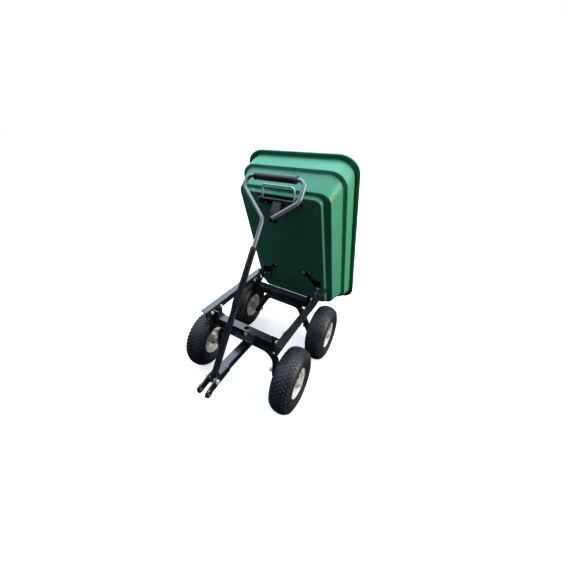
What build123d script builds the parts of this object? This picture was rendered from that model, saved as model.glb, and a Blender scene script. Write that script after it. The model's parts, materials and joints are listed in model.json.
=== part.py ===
from build123d import *
from math import cos, sin, sqrt, radians
import os

# Garden tipping cart. Millimetres, +Z up, the ground at Z = 0.
# The handle end points to -Y and the cart's left side is +X.
# The tub is drawn tipped back and the handle leaning back on its stop.

# wheels and axles
middle_y = -49.5            # halfway between the axles, so that the cart is centred
wheelbase = 330.0
track = 416.0
tyre_r = 128.0
tyre_w = 86.0
tyre_shoulder_r = 122.0
tyre_shoulder_w = 60.0
tyre_bulge_r = 92.0
tyre_bead_w = 56.0
tyre_bead_h = 11.0
tyre_bead_t = 10.0
tyre_wall = 5.0
tube_wall = 2.0
rim_seat_r = 50.8
rim_lip_r = 60.0
rim_lip_curl = 4.7
rim_t = 2.0
rim_step = 8.8
rim_slope = 4.5
rim_bolt_ring_r = 31.0
rim_bolt_r = 3.0
rim_bolts = 4
rim_bolt_turn = 45.0
hub_r = 20.0
hub_bore_r = 12.0
hub_w = 66.0
hub_flange_r = 42.0
hub_flange_t = 4.0
bearing_r = 17.5
bearing_w = 11.0
axle_r = 8.0
axle_end = 9.0              # beyond the hub
axle_tail = 10.0            # inside the leg
collar_r = 11.0
washer_r = 14.0
washer_t = 2.0
cotter_r = 1.6
cotter_l = 26.0
cotter_back = 3.5
valve_r = 4.0
valve_l = 38.0
valve_x = 4.0

# clearances
running = 0.05              # radial, turning fits
slip = 0.02                 # radial, fixed pins
gap = 0.3                   # faces that pass or stop against each other

# frame
rail_leg = 30.0
rail_t = 3.0
rail_gap = 320.0            # between the upright flanges
rail_top = 322.0
rail_front = 62.0           # beyond the front axle
bar_w = 36.0                # square tube of both cross-members
bar_wall = 2.5
bar_top = 280.0
bracket_t = 4.0
bracket_half = 40.0
bracket_top_gap = 5.0
bracket_foot = 3.0
gusset_w = 29.0
gusset_foot_w = 11.0
gusset_neck = 35.0
frame_bolt_r = 4.0
frame_bolt_step = 60.0
service_hole_r = 10.0

# axle arches, bent from round tube
arch_r = 14.0
arch_wall = 2.0
front_leg_in = 68.0         # inside the wheel's middle
front_bend_r = 58.0
rear_top_x = 84.0
rear_foot_in = 60.0         # inside the wheel's middle
rear_bend_r = 40.0
leg_below_axle = 18.0

# steering pivot and drawbar
kingpin_r = 6.0
kingpin_end = 5.5           # above its nut
sleeve_r = 9.0
swivel_plate_t = 3.7
swivel_plate_w = 90.0
swivel_plate_d = 60.0
drawbar_w = 30.0
drawbar_wall = 2.5
drawbar_tail = 24.0
hitch_t = 4.0
hitch_reach = 216.0         # handle pivot ahead of the front axle
hitch_z = 197.0
hitch_pivot_r = 17.0
hitch_lap = 50.0
hitch_heel = 7.5
tow_hole_r = 6.5
tow_reach = 45.0
tow_drop = 13.0
pivot_bolt_r = 5.0

# handle
lean = 31.5                 # from upright, back over the cart
stem_r = 12.0
stem_wall = 1.5
stem_l = 490.0
collar_depth = 30.0
collar_lip = 8.0
collar_round = 2.0
loop_r = 8.0
loop_wall = 1.5
loop_entry = 50.0
loop_fork = 117.0           # above the stem
loop_half_w = 120.0
loop_rise = 112.0
loop_side = 49.0
loop_drop = 79.0
loop_end_x = 37.0
loop_end_rise = 9.0
loop_fork_r = 28.0
loop_side_r = 32.0
loop_top_r = 26.0
grip_r = 16.0
grip_half_l = 88.0
grip_round = 5.0
cap_t = 3.0
cap_plug = 14.0

# tub
tilt = 67.4
hinge_behind = 70.0         # behind the rear axle
pad_gap = 0.5               # above the rails when the tub is down
tub_wall = 4.0
tub_depth = 200.0
low_ledge_h = 18.0
high_ledge_h = 88.0
rim_skirt = 16.0
rim_round = 5.0
# half width, reach ahead of the hinge, reach behind it, corner radius
pad = (170.0, 507.0, 81.0, 25.0)
pad_top = (175.0, 529.0, 95.0, 32.0)
low_ledge = (202.0, 538.0, 101.0, 50.0)
low_wall = (224.0, 560.0, 174.0, 60.0)
high_ledge = (236.0, 572.0, 187.0, 70.0)
high_wall = (242.0, 580.0, 277.0, 74.0)
rim = (250.0, 588.0, 285.0, 82.0)

# tub hinge
lug_t = 4.0
lug_r = 13.0
lug_base_t = 3.0
lug_base_w = 35.0
lug_base_front = 44.0
lug_base_back = 26.0
lug_arm_x = 73.0            # outer bolt of the lug's arm along the pad
lug_arm_reach = 84.0
lug_arm_r = 12.0
lug_tail_r = 7.0
lug_tail_drop = 45.0
bush_l = 5.0
bush_r = 8.0
hinge_bolt_r = 4.0
tub_bolt_r = 3.0
tub_bolt_inset = 15.0
dome_r = 7.0
dome_h = 3.0

# latch under the front of the tub
latch_inset = 18.0          # behind the pad's front edge
latch_drop = 12.0
latch_open = 16.0
latch_pin_r = 4.0
latch_barrel_r = 7.0
latch_t = 3.0
latch_ear_r = 8.0
latch_half_w = 78.0
latch_base_lip = 17.0
latch_base_back = 30.0
latch_base_front = 16.0
latch_bolt_back = 25.0
hook_half_w = 18.0
hook_t = 5.0
hook_drop = 40.0
hook_bend = 17.0
hook_bite = 5.5
hook_play = 1.5
bail_r = 4.0
bail_half_w = 69.0
bail_reach = 58.0
bail_bend_r = 14.0
bail_lean = 15.0            # from the pad, towards the tub's front

# hexagon heads and nuts, as shares of the bolt's radius
hex_share = 1.85
head_share = 1.3
nut_share = 1.6
tail_share = 0.6

front_leg_x = track / 2 - front_leg_in
rear_foot_x = track / 2 - rear_foot_in
front_y = middle_y - wheelbase / 2
rear_y = middle_y + wheelbase / 2
axle_z = tyre_r
bar_bottom = bar_top - bar_w
bar_half_l = rail_gap / 2 - bracket_t
front_arch_z = bar_bottom - gap - swivel_plate_t - arch_r
rear_arch_z = bar_bottom - arch_r
drawbar_top = front_arch_z - arch_r
pivot_y = front_y - hitch_reach
stop_rise = (drawbar_top - hitch_z) * sin(radians(lean))
stop_y = pivot_y + (stem_r + gap + stop_rise) / cos(radians(lean))
hinge_y = rear_y + hinge_behind
hinge_z = rail_top - rail_leg / 2
pad_h = rail_leg / 2 + pad_gap
latch_reach = pad[1] - latch_inset

tub_plane = Plane(
    origin=(0, hinge_y, hinge_z),
    x_dir=(1, 0, 0),
    z_dir=(0, sin(radians(tilt)), cos(radians(tilt))),
)
handle_plane = Plane(
    origin=(0, pivot_y, hitch_z),
    x_dir=(1, 0, 0),
    z_dir=(0, -cos(radians(lean)), sin(radians(lean))),
)

os.makedirs("parts", exist_ok=True)


def save(part, name):
    part.label = name
    export_step(part, f"parts/{name}.step")


def side_plane(x, y, z):
    """Plane across X: its first axis is +Y, its second +Z."""
    return Plane(origin=(x, y, z), x_dir=(0, 1, 0), z_dir=(1, 0, 0))


def facing_in(side, x, y, z):
    """Plane across X at the cart's given side, looking to the middle."""
    return Plane(origin=(side * x, y, z), x_dir=(0, 1, 0), z_dir=(-side, 0, 0))


def box_between(low, high, mode=Mode.ADD):
    """Box between two opposite corners."""
    middle = [(a + b) / 2 for a, b in zip(low, high)]
    size = [abs(b - a) for a, b in zip(low, high)]
    with Locations(tuple(middle)):
        Box(*size, mode=mode)


def rod(plane, radius, length, mode=Mode.ADD):
    with BuildSketch(plane) as disc:
        Circle(radius)
    extrude(disc.sketch, amount=length, mode=mode)


def ring(plane, radius, bore, length):
    with BuildSketch(plane) as disc:
        Circle(radius)
        Circle(bore, mode=Mode.SUBTRACT)
    extrude(disc.sketch, amount=length)


def hexagon(plane, bolt_radius, length, bore=0.0):
    with BuildSketch(plane) as head:
        RegularPolygon(bolt_radius * hex_share, 6)
        if bore:
            Circle(bore, mode=Mode.SUBTRACT)
    extrude(head.sketch, amount=length)


def bolt(plane, radius, grip):
    """Hexagon bolt with its nut: the head's seat is on the plane."""
    nut = radius * nut_share
    hexagon(plane.offset(-radius * head_share), radius, radius * head_share)
    rod(plane, radius, grip + nut + radius * tail_share)
    hexagon(plane.offset(grip), radius, nut, radius + slip)


def bent_tube(path, radius, wall):
    """Round tube along the wire that path holds."""
    with BuildSketch(Plane(origin=path.line @ 0, z_dir=path.line % 0)) as section:
        Circle(radius)
        Circle(radius - wall, mode=Mode.SUBTRACT)
    sweep(section.sketch, path=path.line)


# ---------------------------------------------------------------- frame

frame_bolt_z = hinge_z
frame_bolt_ys = [y + s * frame_bolt_step / 2 for y in (front_y, rear_y) for s in (-1, 1)]

for side, name in ((1, "side_rail_left"), (-1, "side_rail_right")):
    inner = side * rail_gap / 2
    web = inner + side * rail_t
    rail_start = front_y - rail_front
    with BuildPart() as side_rail:
        box_between((inner, rail_start, rail_top - rail_leg), (web, hinge_y, rail_top))
        box_between((inner, rail_start, rail_top - rail_t), (inner + side * rail_leg, hinge_y, rail_top))
        rod(facing_in(side, rail_gap / 2 + rail_t, hinge_y, hinge_z), rail_leg / 2, rail_t)
        rod(facing_in(side, rail_gap, hinge_y, hinge_z), hinge_bolt_r + slip, rail_gap, Mode.SUBTRACT)
        for bolt_y in frame_bolt_ys:
            hole = facing_in(side, rail_gap, bolt_y, frame_bolt_z)
            rod(hole, frame_bolt_r + slip, rail_gap, Mode.SUBTRACT)
    save(side_rail.part, name)


def square_tube(half_l, y):
    """Cross-member along X between the brackets."""
    box_between((-half_l, y - bar_w / 2, bar_bottom), (half_l, y + bar_w / 2, bar_top))
    low = (-half_l, y - bar_w / 2 + bar_wall, bar_bottom + bar_wall)
    high = (half_l, y + bar_w / 2 - bar_wall, bar_top - bar_wall)
    box_between(low, high, Mode.SUBTRACT)


# The hook is drawn latched, from its pivot: +X of the plane is rearward.
bar_face = latch_reach - (wheelbase + hinge_behind) - bar_w / 2
hook_tip = bar_face + bar_wall + hook_bite
hook_low = hook_drop + hook_t / 2
hook_sweep = sqrt(hook_tip ** 2 + hook_low ** 2 - bar_face ** 2)
latch_h = pad_h - latch_drop
slot_top = hinge_z + latch_h - hook_drop + hook_t / 2 + hook_play
slot_bottom = hinge_z + latch_h - hook_sweep - hook_play

with BuildPart() as front_crossmember:
    square_tube(bar_half_l, front_y)
    rod(Plane((0, front_y, bar_bottom)), kingpin_r + slip, bar_wall, Mode.SUBTRACT)
    rod(Plane((0, front_y, bar_top - bar_wall)), service_hole_r, bar_wall, Mode.SUBTRACT)
    slot_half_w = hook_half_w + 2 * hook_play
    low = (-slot_half_w, front_y - bar_w / 2, slot_bottom)
    high = (slot_half_w, front_y - bar_w / 2 + bar_wall, slot_top)
    box_between(low, high, Mode.SUBTRACT)
save(front_crossmember.part, "front_crossmember")

with BuildPart() as rear_crossmember:
    square_tube(bar_half_l, rear_y)
save(rear_crossmember.part, "rear_crossmember")

for bar_y, name in ((front_y, "front_brackets"), (rear_y, "rear_brackets")):
    top = rail_top - bracket_top_gap
    foot = bar_bottom + bracket_foot
    bolt_ys = (bar_y - frame_bolt_step / 2, bar_y + frame_bolt_step / 2)
    with BuildPart() as brackets:
        for side in (1, -1):
            low = (side * bar_half_l, bar_y - bracket_half, foot)
            high = (side * rail_gap / 2, bar_y + bracket_half, top)
            box_between(low, high)
            for bolt_y in bolt_ys:
                hole = facing_in(side, rail_gap / 2, bolt_y, frame_bolt_z)
                rod(hole, frame_bolt_r + slip, bracket_t, Mode.SUBTRACT)
            face = Plane(origin=(0, bar_y - bar_w / 2, 0), x_dir=(side, 0, 0), z_dir=(0, -side, 0))
            if side < 0:
                face = face.offset(-bracket_t)
            with BuildSketch(face):
                with BuildLine():
                    Polyline(
                        (bar_half_l, foot),
                        (bar_half_l - gusset_foot_w, foot),
                        (bar_half_l - gusset_w, foot + gusset_neck),
                        (bar_half_l - gusset_w, top),
                        (bar_half_l, top),
                        close=True,
                    )
                make_face()
            extrude(amount=bracket_t)
    save(brackets.part, name)

with BuildPart() as frame_bolts:
    for side in (1, -1):
        for bolt_y in frame_bolt_ys:
            seat = facing_in(side, rail_gap / 2 + rail_t, bolt_y, frame_bolt_z)
            bolt(seat, frame_bolt_r, rail_t + bracket_t)
save(frame_bolts.part, "frame_bolts")

with BuildPart() as kingpin:
    pin_seat = Plane((0, front_y, drawbar_top - drawbar_w - gap))
    bolt(pin_seat, kingpin_r, bar_bottom + bar_wall - pin_seat.origin.Z)
save(kingpin.part, "kingpin")

# ------------------------------------------------------------ axle arches


def arch_path(y, foot_x, top_x, top_z, bend_r):
    """Centre line of an arch, from the right foot to the left one."""
    foot_z = axle_z - leg_below_axle
    plane = Plane(origin=(0, y, 0), x_dir=(1, 0, 0), z_dir=(0, -1, 0))
    with BuildLine(plane) as path:
        FilletPolyline(
            (-foot_x, foot_z), (-top_x, top_z), (top_x, top_z), (foot_x, foot_z), radius=bend_r
        )
    return path


front_path = arch_path(front_y, front_leg_x, front_leg_x, front_arch_z, front_bend_r)
rear_path = arch_path(rear_y, rear_foot_x, rear_top_x, rear_arch_z, rear_bend_r)
hub_in = track / 2 - hub_w / 2
hub_out = track / 2 + hub_w / 2
shaft_r = axle_r - running
shaft_start = front_leg_x - arch_r - axle_tail
shaft_end = hub_out + axle_end

with BuildPart() as front_axle_arch:
    bent_tube(front_path, arch_r, arch_wall)
    rod(Plane((0, front_y, drawbar_top)), sleeve_r + slip, 2 * arch_r, Mode.SUBTRACT)
    rod(side_plane(-shaft_end, front_y, axle_z), axle_r + slip, 2 * shaft_end, Mode.SUBTRACT)
save(front_axle_arch.part, "front_axle_arch")

with BuildPart() as rear_axle_arch:
    bent_tube(rear_path, arch_r, arch_wall)
    rod(side_plane(-shaft_end, rear_y, axle_z), axle_r + slip, 2 * shaft_end, Mode.SUBTRACT)
save(rear_axle_arch.part, "rear_axle_arch")

for end, end_y, path in (("front", front_y, front_path), ("rear", rear_y, rear_path)):
    with BuildPart() as axle_stubs:
        for side in (1, -1):
            shaft = facing_in(side, shaft_end, end_y, axle_z)
            rod(shaft, shaft_r, shaft_end - shaft_start)
            cotter_hole = Plane((side * (shaft_end - cotter_back), end_y, axle_z - cotter_l / 2))
            rod(cotter_hole, cotter_r + slip, cotter_l, Mode.SUBTRACT)
    save(axle_stubs.part, f"{end}_axle_stubs")

    with BuildPart() as wheel_fasteners:
        for side in (1, -1):
            spacer = facing_in(side, hub_in - gap, end_y, axle_z)
            ring(spacer, collar_r, axle_r, hub_in - gap - front_leg_x + arch_r / 2)
            washer = facing_in(side, hub_out + gap + washer_t, end_y, axle_z)
            ring(washer, washer_r, axle_r, washer_t)
            cotter = Plane((side * (shaft_end - cotter_back), end_y, axle_z - cotter_l / 2))
            rod(cotter, cotter_r, cotter_l)
        with BuildSketch(Plane(origin=path.line @ 0, z_dir=path.line % 0)) as leg:
            Circle(arch_r + slip)
        sweep(leg.sketch, path=path.line, mode=Mode.SUBTRACT)
    save(wheel_fasteners.part, f"{end}_wheel_fasteners")

# --------------------------------------------------------------- steering

with BuildPart() as pivot_sleeve:
    drawbar_bottom = drawbar_top - drawbar_w
    rod(Plane((0, front_y, drawbar_bottom)), sleeve_r, bar_bottom - gap - drawbar_bottom)
    plate_z = bar_bottom - gap - swivel_plate_t
    low = (-swivel_plate_w / 2, front_y - swivel_plate_d / 2, plate_z)
    high = (swivel_plate_w / 2, front_y + swivel_plate_d / 2, plate_z + swivel_plate_t)
    box_between(low, high)
    rod(Plane((0, front_y, drawbar_bottom)), kingpin_r + running, bar_w * 2, Mode.SUBTRACT)
save(pivot_sleeve.part, "pivot_sleeve")

with BuildPart() as drawbar:
    half = drawbar_w / 2
    tail = front_y + drawbar_tail
    box_between((-half, stop_y, drawbar_bottom), (half, tail, drawbar_top))
    low = (-half + drawbar_wall, stop_y, drawbar_bottom + drawbar_wall)
    high = (half - drawbar_wall, tail, drawbar_top - drawbar_wall)
    box_between(low, high, Mode.SUBTRACT)
    rod(Plane((0, front_y, drawbar_bottom)), sleeve_r + slip, drawbar_w, Mode.SUBTRACT)
save(drawbar.part, "drawbar")

tow_y = pivot_y - tow_reach
tow_z = hitch_z - tow_drop

with BuildPart() as hitch_plates:
    for side in (1, -1):
        with BuildSketch(facing_in(side, drawbar_w / 2 + hitch_t, 0, 0)):
            with Locations((pivot_y, -side * hitch_z), (tow_y, -side * tow_z)):
                Circle(hitch_pivot_r)
            with Locations((stop_y + hitch_lap, -side * (drawbar_top - drawbar_w / 2))):
                Rectangle(hitch_heel, drawbar_w - drawbar_wall)
            make_hull()
        extrude(amount=hitch_t)
    rod(side_plane(-drawbar_w, tow_y, tow_z), tow_hole_r, 2 * drawbar_w, Mode.SUBTRACT)
    rod(side_plane(-drawbar_w, pivot_y, hitch_z), pivot_bolt_r + slip, 2 * drawbar_w, Mode.SUBTRACT)
save(hitch_plates.part, "hitch_plates")

with BuildPart() as handle_pivot_bolt:
    bolt(facing_in(1, drawbar_w / 2 + hitch_t, pivot_y, hitch_z), pivot_bolt_r, drawbar_w + 2 * hitch_t)
save(handle_pivot_bolt.part, "handle_pivot_bolt")

# ----------------------------------------------------------------- handle

stem_axis = handle_plane.y_dir
stem_side = Plane(origin=handle_plane.origin, x_dir=stem_axis, z_dir=(1, 0, 0))


def across_stem(s):
    """Plane square to the handle, s along it."""
    return Plane(origin=handle_plane.origin + stem_axis * s, x_dir=(1, 0, 0), z_dir=stem_axis)


with BuildPart() as handle_stem:
    stem_bush_half = drawbar_w / 2 - gap
    rod(across_stem(0), stem_r, stem_l)
    rod(side_plane(-stem_bush_half, pivot_y, hitch_z), stem_r, 2 * stem_bush_half)
    rod(across_stem(stem_r), stem_r - stem_wall, stem_l, Mode.SUBTRACT)
    bore = side_plane(-drawbar_w, pivot_y, hitch_z)
    rod(bore, pivot_bolt_r + running, 2 * drawbar_w, Mode.SUBTRACT)
save(handle_stem.part, "handle_stem")

with BuildPart() as stem_collar:
    ring(across_stem(stem_l), stem_r, loop_r + slip, collar_lip)
    lip_edges = stem_collar.edges().filter_by(GeomType.CIRCLE).group_by(SortBy.RADIUS)[-1]
    fillet(lip_edges.sort_by(Axis(handle_plane.origin, stem_axis))[-1], collar_round)
    ring(across_stem(stem_l - collar_depth), stem_r - stem_wall, loop_r + slip, collar_depth)
save(stem_collar.part, "stem_collar")

fork_s = stem_l + loop_fork
top_s = fork_s + loop_rise + loop_side

with BuildPart() as handle_loop:
    with BuildLine(handle_plane) as loop_path:
        FilletPolyline(
            (0, stem_l - loop_entry),
            (0, fork_s),
            (-loop_half_w, fork_s + loop_rise),
            (-loop_half_w, top_s),
            (loop_half_w, top_s),
            (loop_half_w, top_s - loop_drop),
            (loop_end_x, fork_s + loop_end_rise),
            radius=[loop_fork_r, loop_side_r, loop_top_r, loop_top_r, loop_side_r],
        )
    bent_tube(loop_path, loop_r, loop_wall)
save(handle_loop.part, "handle_loop")

with BuildPart() as handle_grip:
    grip_start = handle_plane.from_local_coords((-grip_half_l, top_s, 0))
    grip_plane = Plane(origin=grip_start, x_dir=stem_axis, z_dir=(1, 0, 0))
    ring(grip_plane, grip_r, loop_r + slip, 2 * grip_half_l)
    outer = handle_grip.edges().filter_by(GeomType.CIRCLE).group_by(SortBy.RADIUS)[-1]
    fillet(outer, grip_round)
save(handle_grip.part, "handle_grip")

with BuildPart() as loop_end_cap:
    end_plane = Plane(origin=loop_path.line @ 1, z_dir=loop_path.line % 1)
    rod(end_plane, loop_r, cap_t)
    cap_face = loop_end_cap.faces().sort_by(Axis(end_plane.origin, end_plane.z_dir))[-1]
    fillet(cap_face.edges(), cap_t / 2)
    rod(end_plane.offset(-cap_plug), loop_r - loop_wall - slip, cap_plug)
save(loop_end_cap.part, "loop_end_cap")

# -------------------------------------------------------------------- tub

lug_bolt_x = rail_gap / 2 - bush_l - lug_base_w / 2 - lug_t
lug_bolt_places = [
    (side * x, y)
    for side in (1, -1)
    for x, y in ((lug_bolt_x, lug_base_back - tub_bolt_inset), (lug_arm_x, -lug_arm_reach))
]
latch_bolt_places = [
    (side * (latch_half_w - tub_bolt_inset), latch_bolt_back - latch_reach)
    for side in (1, -1)
]
tub_bolt_places = lug_bolt_places + latch_bolt_places


def below_tub(x, y, h):
    """Plane along the tub's floor at a point of it, h above the pad."""
    return Plane(
        origin=tub_plane.from_local_coords((x, y, pad_h + h)),
        x_dir=(1, 0, 0),
        z_dir=tub_plane.z_dir,
    )


def tub_section(level, h, inset=0.0):
    """Rounded outline of the tub at height h above its pad."""
    half_w, front, back, corner = level
    with BuildSketch(tub_plane.offset(pad_h + h)) as outline:
        with Locations((0, (back - front) / 2)):
            RectangleRounded(2 * (half_w - inset), front + back - 2 * inset, corner - inset)
    return outline.sketch


tub_tiers = (
    (pad, 0.0, pad_top, low_ledge_h),
    (low_ledge, low_ledge_h, low_wall, high_ledge_h),
    (high_ledge, high_ledge_h, high_wall, tub_depth),
)

with BuildPart() as tub:
    for foot, foot_h, top, top_h in tub_tiers:
        loft([tub_section(foot, foot_h), tub_section(top, top_h)])
    extrude(tub_section(rim, tub_depth - rim_skirt), amount=rim_skirt)
    fillet(tub.faces().sort_by(Axis(tub_plane.origin, tub_plane.z_dir))[-1].edges(), rim_round)
    for foot, foot_h, top, top_h in tub_tiers:
        low = tub_section(foot, foot_h + tub_wall, tub_wall)
        high = tub_section(top, top_h + tub_wall, tub_wall)
        loft([low, high], mode=Mode.SUBTRACT)
    for bolt_x, bolt_y in tub_bolt_places:
        rod(below_tub(bolt_x, bolt_y, 0), tub_bolt_r + slip, tub_wall, Mode.SUBTRACT)
save(tub.part, "tub")

# -------------------------------------------------------------- tub hinge

lug_out = rail_gap / 2 - bush_l


def tub_side(side, x, y=0.0, h=0.0):
    """Plane across X riding on the tub: first axis rearward, second off the pad."""
    origin = tub_plane.from_local_coords((side * x, y, h))
    return Plane(origin=origin, x_dir=tub_plane.y_dir, z_dir=(1, 0, 0))


stop_place = Vector(
    0, hinge_y - hinge_behind + bar_w / 2 + gap + lug_tail_r, hinge_z - lug_tail_drop
)
tail_place = tub_plane.to_local_coords(stop_place)

with BuildPart() as hinge_lugs:
    for side in (1, -1):
        inner = lug_out - lug_t if side > 0 else lug_out
        with BuildSketch(tub_side(side, inner)) as lug:
            Circle(lug_r)
            with Locations(((lug_base_back - lug_base_front) / 2, pad_h - lug_base_t / 2)):
                Rectangle(lug_base_back + lug_base_front, lug_base_t)
            make_hull()
            with BuildSketch(mode=Mode.PRIVATE) as arm:
                Circle(lug_r - lug_base_t)
                with Locations((tail_place.Y, tail_place.Z)):
                    Circle(lug_tail_r)
                make_hull()
            add(arm.sketch)
        extrude(lug.sketch, amount=lug_t)
        with BuildSketch(tub_plane.offset(pad_h - lug_base_t)) as base:
            with Locations((side * (lug_out - lug_base_w / 2), (lug_base_back - lug_base_front) / 2)):
                Rectangle(lug_base_w, lug_base_back + lug_base_front)
            with BuildSketch(mode=Mode.PRIVATE) as arm:
                with Locations((side * lug_bolt_x, (lug_base_back - lug_base_front) / 2)):
                    Circle(lug_arm_r)
                with Locations((side * lug_arm_x, -lug_arm_reach)):
                    Circle(lug_arm_r)
                make_hull()
            add(arm.sketch)
        extrude(base.sketch, amount=lug_base_t)
    rod(side_plane(-rail_gap, hinge_y, hinge_z), hinge_bolt_r + running, 2 * rail_gap, Mode.SUBTRACT)
    for bolt_x, bolt_y in lug_bolt_places:
        rod(below_tub(bolt_x, bolt_y, -lug_base_t), tub_bolt_r + slip, lug_base_t, Mode.SUBTRACT)
save(hinge_lugs.part, "hinge_lugs")

with BuildPart() as hinge_bolts:
    for side in (1, -1):
        seat = facing_in(side, rail_gap / 2 + rail_t, hinge_y, hinge_z)
        bolt(seat, hinge_bolt_r, rail_t + bush_l + lug_t)
save(hinge_bolts.part, "hinge_bolts")

with BuildPart() as hinge_bushes:
    for side in (1, -1):
        ring(facing_in(side, rail_gap / 2, hinge_y, hinge_z), bush_r, hinge_bolt_r + slip, bush_l)
save(hinge_bushes.part, "hinge_bushes")

with BuildPart() as tub_bolts:
    for bolt_x, bolt_y in tub_bolt_places:
        nut_h = -lug_base_t - tub_bolt_r * nut_share
        tail_h = nut_h - tub_bolt_r * tail_share
        rod(below_tub(bolt_x, bolt_y, tail_h), tub_bolt_r, tub_wall - tail_h)
        rod(below_tub(bolt_x, bolt_y, tub_wall), dome_r, dome_h)
        hexagon(below_tub(bolt_x, bolt_y, nut_h), tub_bolt_r, tub_bolt_r * nut_share, tub_bolt_r + slip)
save(tub_bolts.part, "tub_bolts")

# ------------------------------------------------------------------ latch

latch_origin = tub_plane.from_local_coords((0, -latch_reach, latch_h))
latch_plane = Plane(origin=latch_origin, x_dir=tub_plane.y_dir, z_dir=(1, 0, 0))
hook_plane = Plane(latch_plane.location * Location((0, 0, 0), (0, 0, -latch_open)))
barrel_half = latch_half_w - gap

with BuildPart() as latch_bracket:
    with BuildSketch(tub_plane.offset(pad_h - latch_t)) as base:
        with Locations((0, -latch_reach + (latch_base_back - latch_base_front) / 2)):
            Rectangle(2 * (latch_half_w + latch_base_lip), latch_base_back + latch_base_front)
    extrude(base.sketch, amount=latch_t)
    for side in (1, -1):
        start = latch_half_w if side > 0 else -latch_half_w - latch_t
        with BuildSketch(latch_plane.offset(start)) as ear:
            Circle(latch_ear_r)
            with Locations((0, latch_drop - latch_t / 2)):
                Rectangle(2 * latch_base_front, latch_t)
            make_hull()
        extrude(ear.sketch, amount=latch_t)
    rod(latch_plane.offset(-rail_gap), latch_pin_r + slip, 2 * rail_gap, Mode.SUBTRACT)
    for bolt_x, bolt_y in latch_bolt_places:
        rod(below_tub(bolt_x, bolt_y, -latch_t), tub_bolt_r + slip, latch_t, Mode.SUBTRACT)
save(latch_bracket.part, "latch_bracket")

with BuildPart() as latch_pivot_rod:
    rod_half = latch_half_w + latch_t
    rod(latch_plane.offset(-rod_half), latch_pin_r, 2 * rod_half)
    rod(latch_plane.offset(rod_half), latch_ear_r, latch_t)
    rod(latch_plane.offset(-rod_half - latch_t), latch_ear_r, latch_t)
save(latch_pivot_rod.part, "latch_pivot_rod")

with BuildPart() as latch_hook:
    with BuildSketch(hook_plane.offset(-hook_half_w)) as hook:
        with BuildLine() as hook_line:
            Polyline((0, 0), (bar_face - hook_bend + hook_t, -hook_drop), (hook_tip, -hook_drop))
        trace(hook_line.line, line_width=hook_t)
    extrude(hook.sketch, amount=2 * hook_half_w)
    rod(latch_plane.offset(-barrel_half), latch_barrel_r, 2 * barrel_half)
    rod(latch_plane.offset(-rail_gap), latch_pin_r + running, 2 * rail_gap, Mode.SUBTRACT)
save(latch_hook.part, "latch_hook")

bail_out = (0, sin(radians(tilt + bail_lean)), cos(radians(tilt + bail_lean)))
bail_plane = Plane(origin=latch_origin, x_dir=(1, 0, 0), z_dir=bail_out)

with BuildPart() as latch_bail:
    with BuildLine(bail_plane) as bail_path:
        FilletPolyline(
            (-bail_half_w, 0),
            (-bail_half_w, -bail_reach),
            (bail_half_w, -bail_reach),
            (bail_half_w, 0),
            radius=bail_bend_r,
        )
    with BuildSketch(Plane(origin=bail_path.line @ 0, z_dir=bail_path.line % 0)) as section:
        Circle(bail_r)
    sweep(section.sketch, path=bail_path.line)
    rod(latch_plane.offset(-rail_gap), latch_barrel_r, 2 * rail_gap, Mode.SUBTRACT)
save(latch_bail.part, "latch_bail")

# ----------------------------------------------------------------- wheels
# One wheel is drawn about the X axis with its outer side to +X, then placed.


def place_wheel(part, name, side, y):
    turn = 0 if side > 0 else 180
    placed = part.moved(Location((side * track / 2, y, axle_z), (0, 0, turn)))
    save(placed, name)


tyre_bead_x = tyre_bead_w / 2
valve_foot_r = rim_seat_r + tyre_wall

with BuildSketch() as tyre_outline:
    with BuildLine():
        right_shoulder = (tyre_shoulder_w / 2, tyre_shoulder_r)
        left_shoulder = (-tyre_shoulder_w / 2, tyre_shoulder_r)
        right_bead = (tyre_bead_x, rim_seat_r + gap + tyre_bead_h)
        left_bead = (-tyre_bead_x, rim_seat_r + gap + tyre_bead_h)
        ThreePointArc(right_shoulder, (0, tyre_r), left_shoulder)
        ThreePointArc(left_shoulder, (-tyre_w / 2, tyre_bulge_r), left_bead)
        Polyline(
            left_bead,
            (-tyre_bead_x, rim_seat_r + gap),
            (tyre_bead_x, rim_seat_r + gap),
            right_bead,
        )
        ThreePointArc(right_bead, (tyre_w / 2, tyre_bulge_r), right_shoulder)
    make_face()

with BuildSketch() as tyre_cavity:
    add(tyre_outline.sketch)
    offset(amount=-tyre_wall, mode=Mode.REPLACE)

with BuildPart() as tyre:
    with BuildSketch() as section:
        add(tyre_outline.sketch)
        add(tyre_cavity.sketch, mode=Mode.SUBTRACT)
        with Locations((0, rim_seat_r)):
            Rectangle(tyre_bead_w - 2 * tyre_bead_t, 2 * tyre_bead_h, mode=Mode.SUBTRACT)
    revolve(section.sketch, axis=Axis.X)

valve_plane = Plane(origin=(valve_x, 0, valve_foot_r), x_dir=(0, 1, 0), z_dir=(1, 0, -1))

with BuildPart() as inner_tube:
    with BuildSketch() as section:
        add(tyre_outline.sketch)
        offset(amount=-tyre_wall - gap, mode=Mode.REPLACE)
    revolve(section.sketch, axis=Axis.X)
    with BuildSketch() as section:
        add(tyre_outline.sketch)
        offset(amount=-tyre_wall - gap - tube_wall, mode=Mode.REPLACE)
    revolve(section.sketch, axis=Axis.X, mode=Mode.SUBTRACT)
    rod(valve_plane, valve_r, valve_l)

rim_in_r = hub_r + gap
disc_x = hub_flange_t / 2
lip_x = tyre_bead_x + gap

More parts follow.
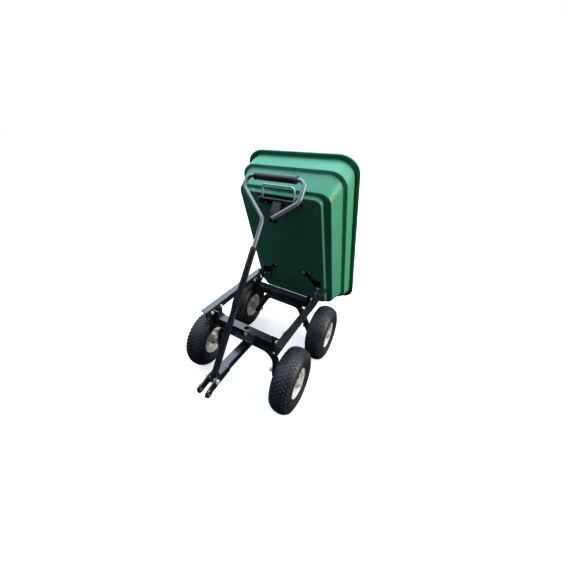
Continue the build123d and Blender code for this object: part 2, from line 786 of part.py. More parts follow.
with BuildPart() as rim_half:
    with BuildSketch() as section:
        with BuildLine():
            Polyline(
                (disc_x, rim_in_r),
                (disc_x, rim_seat_r - rim_step),
                (disc_x + rim_slope, rim_seat_r),
                (lip_x, rim_seat_r),
                (lip_x, rim_lip_r),
                (lip_x + rim_lip_curl, rim_lip_r),
                (lip_x + rim_lip_curl, rim_lip_r - rim_t),
                (lip_x + rim_t, rim_lip_r - rim_t),
                (lip_x + rim_t, rim_seat_r - rim_t),
                (disc_x + rim_slope + rim_t / 2, rim_seat_r - rim_t),
                (disc_x + rim_t, rim_seat_r - rim_step - rim_t / 2),
                (disc_x + rim_t, rim_in_r),
                close=True,
            )
        make_face()
    revolve(section.sketch, axis=Axis.X)
    with BuildSketch(Plane.YZ) as holes:
        with PolarLocations(rim_bolt_ring_r, rim_bolts, start_angle=rim_bolt_turn):
            Circle(rim_bolt_r + slip)
    extrude(holes.sketch, amount=hub_w, mode=Mode.SUBTRACT)

with BuildPart() as rim_outer:
    add(rim_half.part)
    rod(valve_plane.offset(-valve_l), valve_r + gap, 3 * valve_l, Mode.SUBTRACT)

with BuildPart() as rim_inner:
    add(rim_half.part.rotate(Axis.Z, 180))

with BuildPart() as hub:
    ring(Plane.YZ.offset(-hub_w / 2), hub_r, hub_bore_r, hub_w)
    with BuildSketch(Plane.YZ.offset(-hub_flange_t / 2)) as flange:
        Circle(hub_flange_r)
        Circle(hub_bore_r, mode=Mode.SUBTRACT)
        with PolarLocations(rim_bolt_ring_r, rim_bolts, start_angle=rim_bolt_turn):
            Circle(rim_bolt_r + slip, mode=Mode.SUBTRACT)
    extrude(flange.sketch, amount=hub_flange_t)
    for start in (-hub_w / 2, hub_w / 2 - bearing_w):
        rod(Plane.YZ.offset(start), bearing_r + slip, bearing_w, Mode.SUBTRACT)

with BuildPart() as bearings:
    for start in (-hub_w / 2, hub_w / 2 - bearing_w):
        ring(Plane.YZ.offset(start), bearing_r, axle_r, bearing_w)

with BuildPart() as rim_bolts_set:
    sheet = hub_flange_t + 2 * rim_t
    for spot in PolarLocations(rim_bolt_ring_r, rim_bolts, start_angle=rim_bolt_turn).local_locations:
        place = (sheet / 2, spot.position.X, spot.position.Y)
        seat = Plane(origin=place, x_dir=(0, 1, 0), z_dir=(-1, 0, 0))
        bolt(seat, rim_bolt_r, sheet)

wheels = (
    ("front_left", 1, front_y),
    ("front_right", -1, front_y),
    ("rear_left", 1, rear_y),
    ("rear_right", -1, rear_y),
)
wheel_pieces = (
    ("tyre", tyre),
    ("inner_tube", inner_tube),
    ("rim_outer", rim_outer),
    ("rim_inner", rim_inner),
    ("hub", hub),
    ("bearings", bearings),
    ("rim_bolts", rim_bolts_set),
)
for corner, side, y in wheels:
    for piece_name, piece in wheel_pieces:
        place_wheel(piece.part, f"{corner}_{piece_name}", side, y)
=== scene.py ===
import bpy
import json
from math import cos, pi, radians, sin, tau
from mathutils import Matrix, Vector


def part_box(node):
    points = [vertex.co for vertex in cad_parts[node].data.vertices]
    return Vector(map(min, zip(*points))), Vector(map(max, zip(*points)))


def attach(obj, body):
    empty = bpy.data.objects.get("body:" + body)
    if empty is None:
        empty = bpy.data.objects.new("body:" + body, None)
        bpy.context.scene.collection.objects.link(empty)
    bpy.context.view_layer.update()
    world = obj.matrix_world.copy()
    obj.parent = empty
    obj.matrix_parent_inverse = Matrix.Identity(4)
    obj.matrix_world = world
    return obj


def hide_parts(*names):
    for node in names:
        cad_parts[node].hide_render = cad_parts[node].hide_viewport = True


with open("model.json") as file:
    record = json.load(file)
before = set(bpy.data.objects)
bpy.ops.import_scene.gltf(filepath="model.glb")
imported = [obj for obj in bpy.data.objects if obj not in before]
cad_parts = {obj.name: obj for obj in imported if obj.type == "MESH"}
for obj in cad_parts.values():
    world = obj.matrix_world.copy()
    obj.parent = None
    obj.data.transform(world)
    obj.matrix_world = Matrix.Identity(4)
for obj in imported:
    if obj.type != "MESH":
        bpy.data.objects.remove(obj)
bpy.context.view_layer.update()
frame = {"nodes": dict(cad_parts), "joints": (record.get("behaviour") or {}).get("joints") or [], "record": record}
nodes = frame["nodes"]
joints = {joint["name"]: joint for joint in frame["joints"]}
corners = ("front_left", "front_right", "rear_left", "rear_right")
print("frame loaded:", len(nodes), "nodes")


# small helpers that every piece uses
def deselectAll():
    if bpy.context.mode != "OBJECT":
        bpy.ops.object.mode_set(mode="OBJECT")
    bpy.ops.object.select_all(action="DESELECT")


def activate(piece):
    deselectAll()
    piece.select_set(True)
    bpy.context.view_layer.objects.active = piece


def applyModifier(piece, kind, **settings):
    activate(piece)
    modifier = piece.modifiers.new(kind.title(), kind)
    for name, value in settings.items():
        setattr(modifier, name, value)
    bpy.ops.object.modifier_apply(modifier=modifier.name)


def smoothByAngle(piece, degrees):
    activate(piece)
    bpy.ops.object.shade_smooth_by_angle(angle=radians(degrees))


def faceOutwards(piece, mergeDistance=0.00002):
    activate(piece)
    bpy.ops.object.mode_set(mode="EDIT")
    bpy.ops.mesh.select_all(action="SELECT")
    bpy.ops.mesh.remove_doubles(threshold=mergeDistance)
    bpy.ops.mesh.normals_make_consistent(inside=False)
    bpy.ops.object.mode_set(mode="OBJECT")


def finishPiece(piece, body, material, stands=()):
    piece.data.materials.clear()
    piece.data.materials.append(material)
    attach(piece, body)
    if stands:
        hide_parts(*stands)


def placeMesh(piece, matrix):
    piece.data.transform(matrix)
    piece.matrix_world = Matrix.Identity(4)


def copyPiece(piece, name, matrix):
    twin = piece.copy()
    twin.data = piece.data.copy()
    twin.name = name
    bpy.context.collection.objects.link(twin)
    placeMesh(twin, matrix)
    return twin


def turnedPiece(name, profile, steps):
    # a closed outline of (along, radius) points, spun round the X axis
    deselectAll()
    bpy.ops.mesh.primitive_circle_add(vertices=len(profile))
    piece = bpy.context.active_object
    piece.name = name
    for vertex, (along, radius) in zip(piece.data.vertices, profile):
        vertex.co = (along, 0, radius)
    bpy.ops.object.mode_set(mode="EDIT")
    bpy.ops.mesh.select_all(action="SELECT")
    bpy.ops.mesh.spin(steps=steps, angle=tau, center=(0, 0, 0), axis=(1, 0, 0))
    bpy.ops.object.mode_set(mode="OBJECT")
    faceOutwards(piece)
    return piece


# where the camera stands and looks
cameraSetup = {
    "place": (0.5021, -0.9707, 1.0399),
    "turn": 35.03,         # degrees round from straight behind the handle
    "drop": 24.34,         # degrees down from level
    "roll": -0.17,
    "lens": 17.94,
    "shift": (0.0741, -0.0587),
    "sensor": 36,
    "nearest": 0.01,
}


def addCamera(setup):
    turn, drop, roll = (radians(setup[key]) for key in ("turn", "drop", "roll"))
    back = Vector((sin(turn) * cos(drop), -cos(turn) * cos(drop), sin(drop)))
    right = Vector((cos(turn), sin(turn), 0))
    up = back.cross(right)
    rolledRight = cos(roll) * right + sin(roll) * up
    rolledUp = cos(roll) * up - sin(roll) * right
    data = bpy.data.cameras.new("camera")
    camera = bpy.data.objects.new("camera", data)
    bpy.context.collection.objects.link(camera)
    pose = Matrix((rolledRight, rolledUp, back)).transposed().to_4x4()
    pose.translation = setup["place"]
    camera.matrix_world = pose
    data.sensor_width = setup["sensor"]
    data.lens = setup["lens"]
    data.shift_x, data.shift_y = setup["shift"]
    data.clip_start = setup["nearest"]
    bpy.context.scene.camera = camera


# white to the camera and nearly black to the cart, so that only the sky and the lamps light it
studio = {
    "floorSize": 60,
    "floorSeen": (0.92, 0.92, 0.92, 1),
    "floorGlow": 0.55,             # keeps the seen floor pale under the cart
    "floorBounce": (0.008, 0.009, 0.009, 1),
    "skyColour": (0.72, 0.86, 1.0, 1),
    "skyTowards": (-0.30, 0.33, 0.89),    # the bright side of the sky
    "skyFade": (0.22, 0.85),       # how far towards it the sky begins to lighten, and is bright
    "skyDark": 0.002,
    "skyBright": 2.3,
    "skySeen": (1, 1, 1, 1),
    "lamps": (
        # name, place, aim, size, power, colour
        ("overheadLamp", (0.1, 0.7, 2.9), (0, 0.1, 0.4), 1.8, 22, (0.92, 0.97, 1)),
        ("sideLamp", (2.7, 0.7, 1.4), (0, 0.2, 0.4), 1.4, 72, (1, 0.98, 0.84)),
    ),
}


def studioFloor():
    paint = bpy.data.materials.new("floorPaint")
    paint.use_nodes = True
    tree = paint.node_tree
    tree.nodes.clear()
    seen = tree.nodes.new("ShaderNodeBsdfDiffuse")
    seen.inputs["Color"].default_value = studio["floorSeen"]
    glow = tree.nodes.new("ShaderNodeEmission")
    glow.inputs["Strength"].default_value = studio["floorGlow"]
    lit = tree.nodes.new("ShaderNodeAddShader")
    tree.links.new(seen.outputs[0], lit.inputs[0])
    tree.links.new(glow.outputs[0], lit.inputs[1])
    bounce = tree.nodes.new("ShaderNodeBsdfDiffuse")
    bounce.inputs["Color"].default_value = studio["floorBounce"]
    path = tree.nodes.new("ShaderNodeLightPath")
    choose = tree.nodes.new("ShaderNodeMixShader")
    tree.links.new(path.outputs["Is Camera Ray"], choose.inputs[0])
    tree.links.new(bounce.outputs[0], choose.inputs[1])
    tree.links.new(lit.outputs[0], choose.inputs[2])
    output = tree.nodes.new("ShaderNodeOutputMaterial")
    tree.links.new(choose.outputs[0], output.inputs["Surface"])
    return paint


def studioSky():
    world = bpy.data.worlds.new("studio")
    world.use_nodes = True
    tree = world.node_tree
    tree.nodes.clear()
    spot = tree.nodes.new("ShaderNodeTexCoord")
    towards = tree.nodes.new("ShaderNodeVectorMath")
    towards.operation = "DOT_PRODUCT"
    towards.inputs[1].default_value = Vector(studio["skyTowards"]).normalized()
    tree.links.new(spot.outputs["Generated"], towards.inputs[0])
    fade = tree.nodes.new("ShaderNodeMapRange")
    fade.inputs["From Min"].default_value = studio["skyFade"][0]
    fade.inputs["From Max"].default_value = studio["skyFade"][1]
    fade.inputs["To Min"].default_value = studio["skyDark"]
    fade.inputs["To Max"].default_value = studio["skyBright"]
    tree.links.new(towards.outputs["Value"], fade.inputs["Value"])
    sky = tree.nodes.new("ShaderNodeBackground")
    sky.inputs["Color"].default_value = studio["skyColour"]
    tree.links.new(fade.outputs["Result"], sky.inputs["Strength"])
    white = tree.nodes.new("ShaderNodeBackground")
    white.inputs["Color"].default_value = studio["skySeen"]
    path = tree.nodes.new("ShaderNodeLightPath")
    choose = tree.nodes.new("ShaderNodeMixShader")
    tree.links.new(path.outputs["Is Camera Ray"], choose.inputs[0])
    tree.links.new(sky.outputs[0], choose.inputs[1])
    tree.links.new(white.outputs[0], choose.inputs[2])
    output = tree.nodes.new("ShaderNodeOutputWorld")
    tree.links.new(choose.outputs[0], output.inputs["Surface"])
    bpy.context.scene.world = world


def addStudio():
    deselectAll()
    bpy.ops.mesh.primitive_plane_add(size=studio["floorSize"])
    floor = bpy.context.active_object
    floor.name = "floor"
    floor.data.materials.append(studioFloor())
    for name, place, aim, size, power, colour in studio["lamps"]:
        data = bpy.data.lights.new(name, "AREA")
        data.shape = "SQUARE"
        data.size = size
        data.energy = power
        data.color = colour
        lamp = bpy.data.objects.new(name, data)
        bpy.context.collection.objects.link(lamp)
        lamp.location = place
        toward = Vector(aim) - Vector(place)
        lamp.rotation_euler = toward.to_track_quat("-Z", "Y").to_euler()
    studioSky()
    bpy.context.scene.view_settings.view_transform = "Standard"


addCamera(cameraSetup)
addStudio()
print("camera and stage set")


# small helpers for the finishes
def addNode(tree, kind, **values):
    node = tree.nodes.new(kind)
    for name, value in values.items():
        if name in node.inputs:
            node.inputs[name].default_value = value
        else:
            setattr(node, name, value)
    return node


def objectNoise(tree, scale, detail, roughness, stretch=(1, 1, 1)):
    spot = addNode(tree, "ShaderNodeTexCoord")
    mapping = addNode(tree, "ShaderNodeMapping")
    mapping.inputs["Scale"].default_value = stretch
    noise = addNode(tree, "ShaderNodeTexNoise", Scale=scale, Detail=detail, Roughness=roughness)
    tree.links.new(spot.outputs["Object"], mapping.inputs["Vector"])
    tree.links.new(mapping.outputs["Vector"], noise.inputs["Vector"])
    return noise.outputs["Fac"]


def ramp(tree, factor, stops):
    node = addNode(tree, "ShaderNodeValToRGB")
    elements = node.color_ramp.elements
    while len(elements) < len(stops):
        elements.new(0.5)
    for element, (place, colour) in zip(elements, stops):
        element.position = place
        element.color = (*colour, 1)
    tree.links.new(factor, node.inputs["Fac"])
    return node.outputs["Color"]


def numberRange(tree, factor, low, high, fromLow=0.3, fromHigh=0.7):
    node = addNode(tree, "ShaderNodeMapRange")
    node.inputs["From Min"].default_value = fromLow
    node.inputs["From Max"].default_value = fromHigh
    node.inputs["To Min"].default_value = low
    node.inputs["To Max"].default_value = high
    tree.links.new(factor, node.inputs["Value"])
    return node.outputs["Result"]


def mixColours(tree, factor, first, second):
    node = addNode(tree, "ShaderNodeMix", data_type="RGBA")
    tree.links.new(factor, node.inputs["Factor"])
    # sockets 6 and 7 are the node's colours A and B, and output 2 is the mixed colour
    for socket, value in ((node.inputs[6], first), (node.inputs[7], second)):
        if isinstance(value, tuple):
            socket.default_value = (*value, 1)
        else:
            tree.links.new(value, socket)
    return node.outputs[2]


def addBump(tree, shader, height, strength, distance, below=None):
    bump = addNode(tree, "ShaderNodeBump", Strength=strength, Distance=distance)
    tree.links.new(height, bump.inputs["Height"])
    if below is not None:
        tree.links.new(below, bump.inputs["Normal"])
    tree.links.new(bump.outputs["Normal"], shader.inputs["Normal"])
    return bump.outputs["Normal"]


# One dictionary for each finish. Its clouds of colour spread from one named colour to the next. A noise
# is its scale, detail and roughness, and its stretch where it is drawn out. Specks of another colour lie
# where their noise is highest. A bump is a noise, its strength and its depth in metres. The roughness
# follows the clouds, or the rubbed noise where there is one. The keys are the record's slots, and
# one more finish is for the latch's bail alone: a paler, less metallic zinc whose brightness is painted light.
finishLooks = {
    "tub_poly": {
        "name": "tubPlastic",
        "colours": {
            "deep": (0.088, 0.400, 0.250),
            "pale": (0.112, 0.465, 0.300),
            "scuff": (0.20, 0.52, 0.40),
        },
        "plain": "pale",
        "clouds": (6, 5, 0.6),
        "spread": ((0.3, "deep"), (0.7, "pale")),
        "specks": {
            "colour": "scuff",
            "noise": (40, 8, 0.7, (1, 0.15, 0.15)),
            "most": 0.30,
            "between": (0.62, 0.78),
        },
        "roughness": (0.34, 0.50),
        "bumps": (((12, 2, 0.4), 0.25, 0.003), ((900, 3, 0.6), 0.12, 0.0006)),
        "shader": {"Specular IOR Level": 0.3},
    },
    "frame_paint": {
        "name": "framePaint",
        "colours": {
            "black": (0.010, 0.011, 0.014),
            "worn": (0.022, 0.024, 0.029),
            "dust": (0.06, 0.06, 0.065),
        },
        "plain": "black",
        "clouds": (18, 6, 0.65),
        "spread": ((0.35, "black"), (0.75, "worn")),
        "specks": {"colour": "dust", "noise": (260, 4, 0.7), "most": 0.5, "between": (0.66, 0.80)},
        "roughness": (0.30, 0.46),
        "bumps": (((700, 2, 0.5), 0.18, 0.0006),),
        "shader": {
            "Coat Weight": 1.0,
            "Coat Roughness": 0.14,
            "Coat IOR": 1.8,
            "Specular IOR Level": 0.2,
        },
    },
    "tyre_rubber": {
        "name": "tyreRubber",
        "colours": {"black": (0.010, 0.011, 0.013), "dusty": (0.032, 0.036, 0.044)},
        "plain": "black",
        "clouds": (35, 8, 0.7),
        "spread": ((0.35, "black"), (0.75, "dusty")),
        "roughness": (0.40, 0.62),
        "bumps": (((1200, 4, 0.6), 0.3, 0.0006),),
        "shader": {"Coat Weight": 0.35, "Coat Roughness": 0.4},
    },
    "tube_rubber": {
        "name": "blackPlastic",
        "colours": {"black": (0.012, 0.012, 0.013), "grey": (0.028, 0.028, 0.030)},
        "plain": "black",
        "clouds": (80, 4, 0.6),
        "spread": ((0.35, "black"), (0.75, "grey")),
        "roughness": (0.38, 0.55),
        "bumps": (((1600, 2, 0.5), 0.2, 0.0004),),
    },
    "rim_paint": {
        "name": "rimEnamel",
        "colours": {
            "cream": (0.97, 0.97, 0.94),
            "shade": (0.88, 0.87, 0.82),
            "grime": (0.16, 0.14, 0.11),
        },
        "plain": "cream",
        "clouds": (25, 5, 0.6),
        "spread": ((0.3, "shade"), (0.65, "cream")),
        "specks": {"colour": "grime", "noise": (120, 8, 0.75), "most": 0.5, "between": (0.62, 0.80)},
        "roughness": (0.2, 0.4),
        "bumps": (((600, 2, 0.5), 0.1, 0.0005),),
    },
    "zinc_steel": {
        "name": "zincPlate",
        "colours": {
            "bright": (0.78, 0.78, 0.75),
            "dull": (0.58, 0.59, 0.58),
            "gold": (0.70, 0.64, 0.47),
        },
        "plain": "bright",
        "clouds": (90, 5, 0.65),
        "spread": ((0.3, "dull"), (0.5, "bright"), (0.72, "gold")),
        "roughness": (0.24, 0.45),
        "bumps": (((1500, 3, 0.5), 0.1, 0.0003),),
        "shader": {"Metallic": 0.2},
    },
    "handle_steel": {
        "name": "handleSilver",
        "colours": {"silver": (0.34, 0.35, 0.36), "grey": (0.24, 0.25, 0.26)},
        "plain": "silver",
        "clouds": (30, 5, 0.6),
        "spread": ((0.3, "grey"), (0.7, "silver")),
        "rubbed": (160, 4, 0.7),
        "roughness": (0.28, 0.46),
        "bumps": (((800, 2, 0.5), 0.08, 0.0004),),
        "shader": {"Metallic": 0.35},
    },
    "grip_rubber": {
        "name": "gripFoam",
        "colours": {"black": (0.010, 0.010, 0.011), "grey": (0.030, 0.030, 0.032)},
        "plain": "black",
        "clouds": (60, 6, 0.6),
        "spread": ((0.35, "black"), (0.75, "grey")),
        "roughness": (0.38, 0.55),
        "bumps": (((2200, 3, 0.6), 0.35, 0.0005),),
        "shader": {"Coat Weight": 0.7, "Coat Roughness": 0.35},
    },
    # a paler, less metallic zinc for the bail alone: its brightness is painted light, standing for the lamp light
    # falling on the bail
    "bail_painted_light_zinc": {
        "name": "bailPaintedLightZinc",
        "colours": {"bright": (0.80, 0.82, 0.80), "dull": (0.62, 0.65, 0.64)},
        "plain": "bright",
        "clouds": (70, 5, 0.6),
        "spread": ((0.3, "dull"), (0.6, "bright")),
        "roughness": (0.28, 0.45),
        "bumps": (((900, 3, 0.5), 0.1, 0.0003),),
        "shader": {"Metallic": 0.1},
    },
}


def makeFinish(look):
    colours = look["colours"]
    plain = colours[look["plain"]]
    material = bpy.data.materials.new(look["name"])
    material.use_nodes = True
    material.diffuse_color = (*plain, 1)
    tree = material.node_tree
    shader = tree.nodes["Principled BSDF"]
    shader.inputs["Base Color"].default_value = (*plain, 1)
    shader.inputs["Roughness"].default_value = sum(look["roughness"]) / 2
    for socket, value in look.get("shader", {}).items():
        shader.inputs[socket].default_value = value
    clouds = objectNoise(tree, *look["clouds"])
    colour = ramp(tree, clouds, [(place, colours[name]) for place, name in look["spread"]])
    if "specks" in look:
        specks = look["specks"]
        grains = objectNoise(tree, *specks["noise"])
        amount = numberRange(tree, grains, 0, specks["most"], *specks["between"])
        colour = mixColours(tree, amount, colour, colours[specks["colour"]])
    tree.links.new(colour, shader.inputs["Base Color"])
    rubbed = objectNoise(tree, *look["rubbed"]) if "rubbed" in look else clouds
    roughness = numberRange(tree, rubbed, *look["roughness"])
    tree.links.new(roughness, shader.inputs["Roughness"])
    bumpBelow = None
    for noise, strength, depth in look["bumps"]:
        height = objectNoise(tree, *noise)
        bumpBelow = addBump(tree, shader, height, strength, depth, bumpBelow)
    return material


finishes = {slot: makeFinish(look) for slot, look in finishLooks.items()}
finishes["black_plastic"] = finishes["tube_rubber"]

# every node of the frame gets the finish of its slot
slots = {part["node"]: part["material_slot"] for part in frame["record"]["subparts"]}
for node, slot in slots.items():
    mesh = nodes[node].data
    mesh.materials.clear()
    mesh.materials.append(finishes[slot])
print("finishes made:", len(finishLooks))


# the moulded tub, in metres
tub = {
    "wall": 0.0035,
    "cornerSteps": 9,
    "sideSteps": 6,
    "edgeRound": 0.006,
    "edgeSegments": 3,
    "sharpFrom": 28,       # degrees
    "smoothUpTo": 40,      # degrees
    # half width, reach ahead of the hinge, reach behind it, corner radius, height over the floor
    "levels": (
        (0.1700, 0.505, 0.121, 0.025, 0.0),
        (0.1745, 0.510, 0.129, 0.030, 0.018),
        (0.2010, 0.525, 0.135, 0.046, 0.0185),
        (0.2155, 0.551, 0.184, 0.056, 0.104),
        (0.2315, 0.567, 0.194, 0.069, 0.106),
        (0.2320, 0.566, 0.266, 0.068, 0.195),
    ),
    "rim": (0.250, 0.588, 0.285, 0.082),
    "rimTop": 0.2005,
    "skirt": 0.008,
    "floorHeight": 0.0155,     # above the hinge, with the tub level
}


def tubMatrix():
    tilt = radians(joints["tub_tip"]["range_deg"][1])
    along = Vector((0, cos(tilt), -sin(tilt)))
    out = Vector((0, sin(tilt), cos(tilt)))
    pose = Matrix((Vector((1, 0, 0)), along, out)).transposed().to_4x4()
    pose.translation = joints["tub_tip"]["pos_m"]
    return pose


def tubOutline(level):
    halfWidth, ahead, behind, corner = level[:4]
    centres = (
        (halfWidth - corner, behind - corner),
        (corner - halfWidth, behind - corner),
        (corner - halfWidth, corner - ahead),
        (halfWidth - corner, corner - ahead),
    )
    arcs = []
    for quarter, (x, y) in enumerate(centres):
        arc = []
        for step in range(tub["cornerSteps"] + 1):
            angle = (quarter + step / tub["cornerSteps"]) * pi / 2
            arc.append(Vector((x + corner * cos(angle), y + corner * sin(angle))))
        arcs.append(arc)
    points = []
    for arc, following in zip(arcs, arcs[1:] + arcs[:1]):
        points += arc
        for step in range(1, tub["sideSteps"]):
            points.append(arc[-1].lerp(following[0], step / tub["sideSteps"]))
    return points


def makeTub():
    wall = tub["wall"]
    flange = tub["rimTop"] - wall
    lip = tuple(size - wall for size in tub["rim"])     # the wall's thickness stands outside the skirt
    levels = tub["levels"] + ((*lip, flange), (*lip, flange - tub["skirt"]))
    outlines = []
    for level in levels:
        height = level[4] + tub["floorHeight"]
        outlines.append([Vector((*spot, height)) for spot in tubOutline(level)])
    deselectAll()
    bpy.ops.mesh.primitive_circle_add(vertices=len(outlines[0]), fill_type="NGON")
    shell = bpy.context.active_object
    shell.name = "tubShell"
    for vertex, spot in zip(shell.data.vertices, outlines[0]):
        vertex.co = spot
    bpy.ops.object.mode_set(mode="EDIT")
    bpy.ops.mesh.select_mode(type="VERT")
    bpy.ops.mesh.select_all(action="DESELECT")
    bpy.ops.mesh.select_non_manifold()
    for inner, outer in zip(outlines, outlines[1:]):
        # the open edge is drawn out, and each new point goes to its place on the next outline
        bpy.ops.mesh.extrude_edges_move()
        bpy.ops.object.mode_set(mode="OBJECT")
        for vertex in shell.data.vertices:
            if vertex.select:
                gaps = [(spot - vertex.co).length_squared for spot in inner]
                vertex.co = outer[gaps.index(min(gaps))]
        bpy.ops.object.mode_set(mode="EDIT")
    bpy.ops.object.mode_set(mode="OBJECT")
    faceOutwards(shell)
    bpy.ops.object.mode_set(mode="EDIT")
    bpy.ops.mesh.flip_normals()     # an open tray is turned to its inside, and the wall goes that way
    bpy.ops.object.mode_set(mode="OBJECT")
    applyModifier(shell, "BEVEL", width=tub["edgeRound"], segments=tub["edgeSegments"],
                  limit_method="ANGLE", angle_limit=radians(tub["sharpFrom"]), use_clamp_overlap=True)
    applyModifier(shell, "SOLIDIFY", thickness=wall, offset=-1, use_even_offset=True)
    placeMesh(shell, tubMatrix())
    smoothByAngle(shell, tub["smoothUpTo"])
    finishPiece(shell, "tub_assembly", finishes["tub_poly"], ["tub"])


makeTub()
print("tub made")


# the pneumatic tyres with their tread
tyre = {
    "steps": 96,
    "smoothUpTo": 35,      # degrees
    # half of the outer skin, (across, radius), from the crown to the bead
    "skin": (
        (0, 0.1255), (0.0110, 0.1247), (0.0215, 0.1213), (0.0310, 0.1150), (0.0385, 0.1065),
        (0.0424, 0.0965), (0.0430, 0.0890), (0.0416, 0.0815), (0.0398, 0.0808), (0.0385, 0.0770),
        (0.0392, 0.0738), (0.0365, 0.0690), (0.0335, 0.0645), (0.0330, 0.0600), (0.0285, 0.0590),
        (0.0280, 0.0515),
    ),
    "lining": (
        (0.0180, 0.0515), (0.0185, 0.0620), (0.0300, 0.0730), (0.0375, 0.0890), (0.0340, 0.1045),
        (0.0230, 0.1160), (0, 0.1203),
    ),
    "blocks": 46,          # in each row round the tyre
    "blockDepth": 0.006,
    "blockTaper": 0.86,    # a block's top against its foot
    "blockEdge": 0.0007,
    # across, length round the tyre, width, turn in degrees, lean out in degrees, top, phase
    "rows": (
        (0.0000, 0.0122, 0.0074, 0, 0, 0.1279, 0.0),
        (0.0100, 0.0118, 0.0088, 26, 8, 0.1272, 0.5),
        (-0.0100, 0.0118, 0.0088, -26, -8, 0.1272, 0.5),
        (0.0207, 0.0116, 0.0090, -22, 24, 0.1239, 0.0),
        (-0.0207, 0.0116, 0.0090, 22, -24, 0.1239, 0.0),
        (0.0306, 0.0092, 0.0090, 0, 40, 0.1176, 0.5),
        (-0.0306, 0.0092, 0.0090, 0, -40, 0.1176, 0.5),
    ),
}


def tyreOutline():
    right = tyre["skin"] + tyre["lining"]
    left = [(-along, radius) for along, radius in reversed(right[1:-1])]
    return list(right) + left


def makeTyre():
    carcass = turnedPiece("tyreModel", tyreOutline(), tyre["steps"])
    applyModifier(carcass, "SUBSURF", levels=1, render_levels=1)
    return carcass


def makeTreadRow(row, number):
    # one block is shaped, set on the tyre's crown and repeated round it
    across, length, width, turn, lean, top, phase = row
    deselectAll()
    bpy.ops.mesh.primitive_cube_add(size=1)
    block = bpy.context.active_object
    block.name = f"treadBlock{number}"
    depth = tyre["blockDepth"]
    block.data.transform(Matrix.Diagonal((width, length, depth, 1)))
    bpy.ops.object.mode_set(mode="EDIT")
    bpy.ops.mesh.select_mode(type="FACE")
    bpy.ops.mesh.select_all(action="DESELECT")
    bpy.ops.object.mode_set(mode="OBJECT")
    for face in block.data.polygons:
        face.select = face.normal.z > 0.9      # the block's top
    bpy.ops.object.mode_set(mode="EDIT")
    bpy.ops.transform.resize(value=(tyre["blockTaper"], tyre["blockTaper"], 1))
    bpy.ops.mesh.select_all(action="SELECT")
    bpy.ops.mesh.bevel(offset=tyre["blockEdge"], segments=1)
    bpy.ops.object.mode_set(mode="OBJECT")
    pose = (
        Matrix.Rotation(phase * tau / tyre["blocks"], 4, "X")
        @ Matrix.Translation((across, 0, top - depth / 2))
        @ Matrix.Rotation(radians(lean), 4, "Y")
        @ Matrix.Rotation(radians(turn), 4, "Z")
    )
    placeMesh(block, pose)
    bpy.ops.object.empty_add(location=(0, 0, 0), rotation=(tau / tyre["blocks"], 0, 0))
    turner = bpy.context.active_object
    applyModifier(block, "ARRAY", count=tyre["blocks"], use_relative_offset=False,
                  use_object_offset=True, offset_object=turner)
    bpy.data.objects.remove(turner)
    return block


def wheelMatrix(corner):
    place = Vector(joints[corner + "_wheel_spin"]["pos_m"])
    return Matrix.Translation(place) @ Matrix.Rotation(0 if place.x > 0 else pi, 4, "Z")


def makeWheels():
    model = makeTyre()
    rows = [makeTreadRow(row, number) for number, row in enumerate(tyre["rows"])]
    activate(model)
    for row in rows:
        row.select_set(True)
    bpy.ops.object.join()
    for corner in corners:
        piece = copyPiece(model, corner + "_treadTyre", wheelMatrix(corner))
        smoothByAngle(piece, tyre["smoothUpTo"])
        finishPiece(piece, corner + "_wheel", finishes["tyre_rubber"], [corner + "_tyre"])
    bpy.data.objects.remove(model)


makeWheels()
print("tyres made")


# the foam grip on the handle's loop
grip = {
    # (along, radius) from one end of the sleeve to the other
    "outline": (
        (-0.0880, 0.0083), (-0.0880, 0.0150), (-0.0872, 0.0159), (-0.0840, 0.0160), (-0.0815, 0.0152),
        (-0.0600, 0.0154), (0, 0.0157), (0.0600, 0.0154), (0.0815, 0.0152), (0.0840, 0.0160),
        (0.0872, 0.0159), (0.0880, 0.0150), (0.0880, 0.0083),
    ),
    "steps": 48,
    "smoothUpTo": 40,      # degrees
}


def makeGrip():
    piece = turnedPiece("handleGripSleeve", grip["outline"], grip["steps"])
    low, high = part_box("handle_grip")
    placeMesh(piece, Matrix.Translation((low + high) / 2))
    smoothByAngle(piece, grip["smoothUpTo"])
    finishPiece(piece, "handle", finishes["grip_rubber"], ["handle_grip"])


makeGrip()
print("grip made")


# raised bosses round the tow holes in the hitch plates
towBoss = {
    # (out from the plate, radius), round the hole
    "outline": (
        (-0.0002, 0.0088), (-0.0002, 0.0160), (0.0042, 0.0158), (0.0052, 0.0148), (0.0052, 0.0096),
        (0.0046, 0.0088),
    ),
    "steps": 40,
    "hole": (-0.4755, 0.1840),     # along the cart, height
    "sunk": 0.0004,
    "smoothUpTo": 35,              # degrees
}


def makeTowBosses():
    low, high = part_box("hitch_plates")
    y, z = towBoss["hole"]
    boss = turnedPiece("towBoss", towBoss["outline"], towBoss["steps"])
    sunk = towBoss["sunk"]
    for name, x, turn in (("towBossLeft", high.x - sunk, 0), ("towBossRight", low.x + sunk, pi)):
        pose = Matrix.Translation((x, y, z)) @ Matrix.Rotation(turn, 4, "Z")
        piece = copyPiece(boss, name, pose)
        smoothByAngle(piece, towBoss["smoothUpTo"])
        finishPiece(piece, "steering", finishes["frame_paint"])
    bpy.data.objects.remove(boss)


makeTowBosses()
print("tow bosses made")


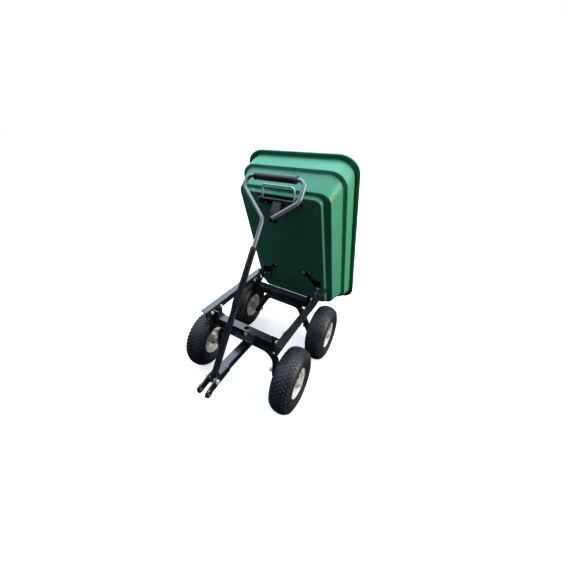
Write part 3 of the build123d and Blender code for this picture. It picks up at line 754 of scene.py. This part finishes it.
# softly worn edges on the metal pieces
softEdge = {
    # the bail gets the paler zinc whose brightness is painted light
    "otherFinish": {"latch_bail": "bail_painted_light_zinc"},
    "sharpFrom": 28,       # degrees
    "flatUpTo": 1,         # degrees
    "smoothUpTo": 40,      # degrees
    "segments": 2,
    # width of the worn edge, and the nodes that have it
    "widths": (
        (0.0012, (
            "side_rail_left", "side_rail_right", "front_brackets", "rear_brackets", "hitch_plates",
            "front_axle_arch", "rear_axle_arch", "hinge_lugs", "latch_bracket", "latch_hook",
        )),
        (0.0020, ("front_crossmember", "rear_crossmember", "drawbar")),
        (0.0006, (
            "handle_stem", "stem_collar", "handle_loop", "latch_bail", "pivot_sleeve", "loop_end_cap",
            "latch_pivot_rod", "kingpin", "frame_bolts", "hinge_bolts", "hinge_bushes", "tub_bolts",
            "front_wheel_fasteners", "rear_wheel_fasteners", "handle_pivot_bolt",
            "front_axle_stubs", "rear_axle_stubs",
        )),
    ),
    # the same for the parts of each wheel
    "wheelWidth": 0.0005,
    "wheelParts": ("rim_outer", "rim_inner", "hub", "rim_bolts"),
}


def softenNode(node, width):
    # a bevelled copy stands for the node, and the node itself stays as it is
    worn = copyPiece(nodes[node], node + "_worn", Matrix.Identity(4))
    worn.parent = None
    faceOutwards(worn)
    bpy.ops.object.mode_set(mode="EDIT")
    bpy.ops.mesh.select_all(action="SELECT")
    bpy.ops.mesh.dissolve_limited(angle_limit=radians(softEdge["flatUpTo"]))
    bpy.ops.object.mode_set(mode="OBJECT")
    applyModifier(worn, "BEVEL", width=width, segments=softEdge["segments"],
                  limit_method="ANGLE", angle_limit=radians(softEdge["sharpFrom"]), use_clamp_overlap=True)
    smoothByAngle(worn, softEdge["smoothUpTo"])
    applyModifier(worn, "WEIGHTED_NORMAL", keep_sharp=True)
    slot = slots[node]
    finish = finishes[softEdge["otherFinish"].get(node, slot)]
    finishPiece(worn, bodyOf[node], finish, [node])


bodyOf = {}
for body, members in frame["record"]["behaviour"]["bodies"].items():
    for node in members:
        bodyOf[node] = body
for width, members in softEdge["widths"]:
    for node in members:
        softenNode(node, width)
for corner in corners:
    for part in softEdge["wheelParts"]:
        softenNode(f"{corner}_{part}", softEdge["wheelWidth"])
print("edges softened")
